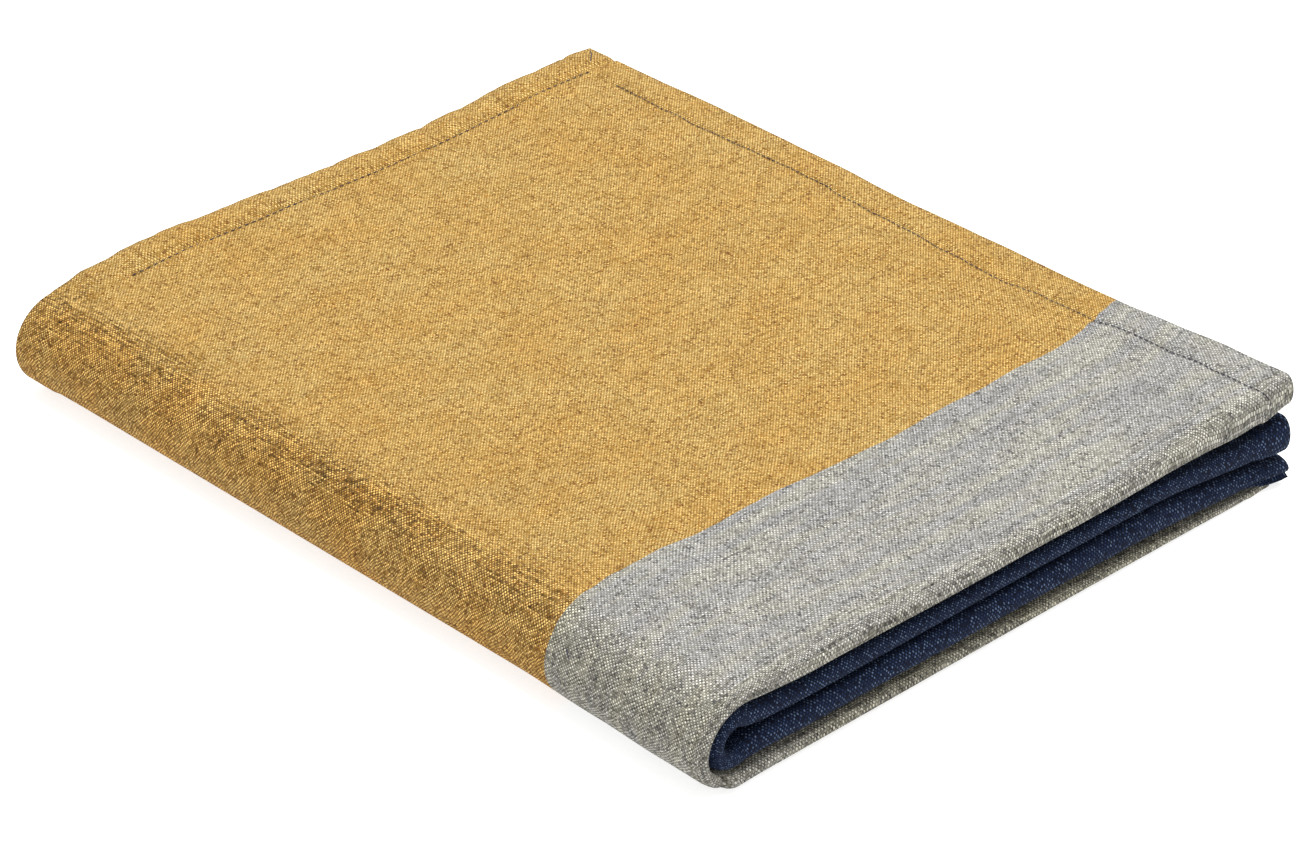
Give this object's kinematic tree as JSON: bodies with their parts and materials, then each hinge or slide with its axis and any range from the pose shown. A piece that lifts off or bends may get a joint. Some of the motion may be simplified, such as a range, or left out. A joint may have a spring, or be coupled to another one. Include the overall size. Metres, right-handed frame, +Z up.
{
  "type": "folded throw blanket",
  "caption": "Woven throw blanket folded into a flat rectangular packet, with one long rounded side, an end of stacked turns and hemmed free edges.",
  "frame": {"origin": "centre of the packet's underside, on the surface it rests on", "axes": "+X along the packet's length towards the end of stacked turns, +Y across towards the side where all the hemmed free edges lie, +Z up through the layers"},
  "size_m": [0.4403, 0.3548, 0.0537],
  "materials": {
    "woven_cloth": "matte cotton and linen in a plain weave, ochre with a grey end band on one side, navy on the other"
  },
  "bodies": {
    "root": {"folded_cloth": "woven_cloth"}
  },
  "joints": []
}
